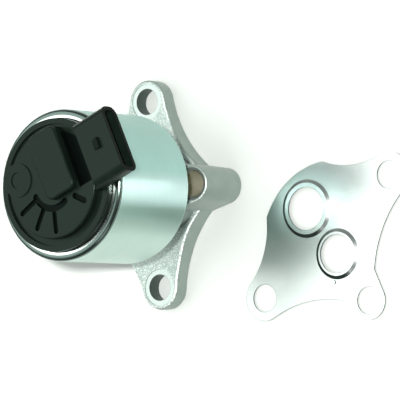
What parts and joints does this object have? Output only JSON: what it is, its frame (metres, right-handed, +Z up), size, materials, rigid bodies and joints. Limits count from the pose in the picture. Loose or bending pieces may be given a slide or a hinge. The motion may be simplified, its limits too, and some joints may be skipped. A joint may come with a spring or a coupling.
{
  "type": "egr valve",
  "caption": "Electric exhaust gas recirculation valve: round solenoid can with plug cap on a flanged casting with ear holes and a tall boss; port gasket lies beside it.",
  "frame": {"origin": "centre of the inlet port on the mounting face", "axes": "+Z up the valve axis towards the sensor cap, +Y and -Y towards the two ear holes, +X towards the tall boss"},
  "size_m": [0.1251, 0.09, 0.075],
  "materials": {
    "cast_metal": "zinc-plated casting, satin",
    "can_steel": "zinc-plated drawn steel, satin",
    "hard_steel": "ground steel",
    "sheet_steel": "bare rolled sheet",
    "soft_iron": "turned, bare",
    "spring_steel": "drawn wire",
    "brass": "bare",
    "copper": "enamelled copper wire",
    "cap_plastic": "moulded, semi-gloss black",
    "spacer_plastic": "moulded",
    "seal_rubber": "matt",
    "board": "circuit board"
  },
  "bodies": {
    "valve": {"valve_base": "cast_metal", "valve_seat": "hard_steel", "soot_shield": "sheet_steel", "shaft_bushing": "hard_steel", "insulating_spacer": "spacer_plastic", "solenoid_can": "can_steel", "can_screws": "hard_steel", "lower_pole": "soft_iron", "guide_sleeve": "brass", "bobbin": "spacer_plastic", "coil": "copper", "upper_pole": "soft_iron", "return_spring": "spring_steel", "sensor_cap": "cap_plastic", "cap_seal": "seal_rubber", "terminals": "brass", "plunger_guide": "spacer_plastic", "sensor_board": "board", "sensor_spring": "spring_steel", "coil_terminals": "brass"},
    "pintle": {"pintle": "hard_steel", "armature": "soft_iron", "armature_ring": "hard_steel"},
    "plunger": {"sensor_plunger": "spacer_plastic", "wiper": "brass"},
    "gasket": {"flange_gasket": "sheet_steel"}
  },
  "joints": [
    {"name": "pintle_lift", "type": "slide", "parent": "valve", "child": "pintle", "axis": [0, 0, 1], "range_m": [0, 0.0045], "stiffness_N_per_m": 2500, "springref_m": -0.004, "deforming": ["return_spring"]},
    {"name": "plunger_follow", "type": "slide", "parent": "valve", "child": "plunger", "axis": [0, 0, 1], "range_m": [0, 0.0045], "stiffness_N_per_m": 60, "springref_m": -0.004, "deforming": ["sensor_spring"]},
    {"name": "gasket_lift", "type": "slide", "parent": "valve", "child": "gasket", "axis": [0, 0, 1], "range_m": [0, 0.05]}
  ],
  "couplings": [
    {"joint": "plunger_follow", "follows": "pintle_lift", "ratio": 1}
  ]
}
